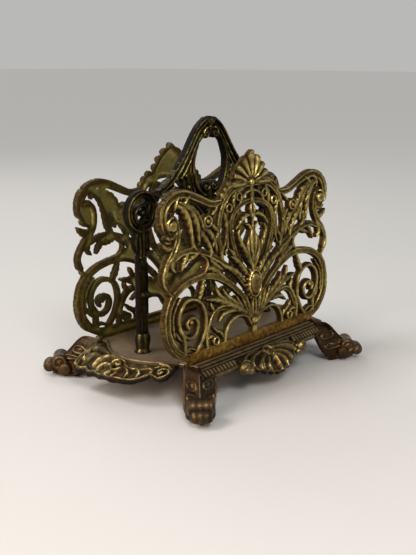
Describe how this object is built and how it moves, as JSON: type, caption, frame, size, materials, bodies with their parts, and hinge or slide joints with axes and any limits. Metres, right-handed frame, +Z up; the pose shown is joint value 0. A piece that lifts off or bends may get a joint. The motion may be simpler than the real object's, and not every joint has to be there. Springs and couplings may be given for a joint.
{
  "type": "bible stand",
  "caption": "Footed two-compartment book rack in antiqued cast brass, with pierced scrollwork side panels, shell crests and a dark central divider with a carrying handle.",
  "frame": {"origin": "on the table under the middle of the tray", "axes": "+X along the side panels, -Y towards the front panel, +Z up"},
  "size_m": [0.308, 0.2434, 0.29],
  "materials": {
    "panel_brass": "antiqued cast brass, dark recesses and rubbed highlights",
    "cast_brass": "dark antiqued cast brass",
    "tray_bronze": "dull dusty brown bronze",
    "black_brass": "black patinated brass with gold rubbed edges",
    "foot_brass": "dark brass with worn highlights",
    "screw_steel": "aged steel"
  },
  "bodies": {
    "root": {"base_plate": "tray_bronze", "apron_front": "cast_brass", "apron_rear": "cast_brass", "apron_left": "cast_brass", "apron_right": "cast_brass", "leg_front_left": "cast_brass", "leg_front_right": "cast_brass", "leg_rear_left": "cast_brass", "leg_rear_right": "cast_brass", "panel_front": "panel_brass", "panel_rear": "panel_brass", "divider": "black_brass", "post_foot_left": "foot_brass", "post_foot_right": "foot_brass", "panel_screws": "screw_steel", "divider_screws": "screw_steel", "divider_washers": "screw_steel", "leg_screws": "screw_steel", "apron_screws": "screw_steel"}
  },
  "joints": []
}
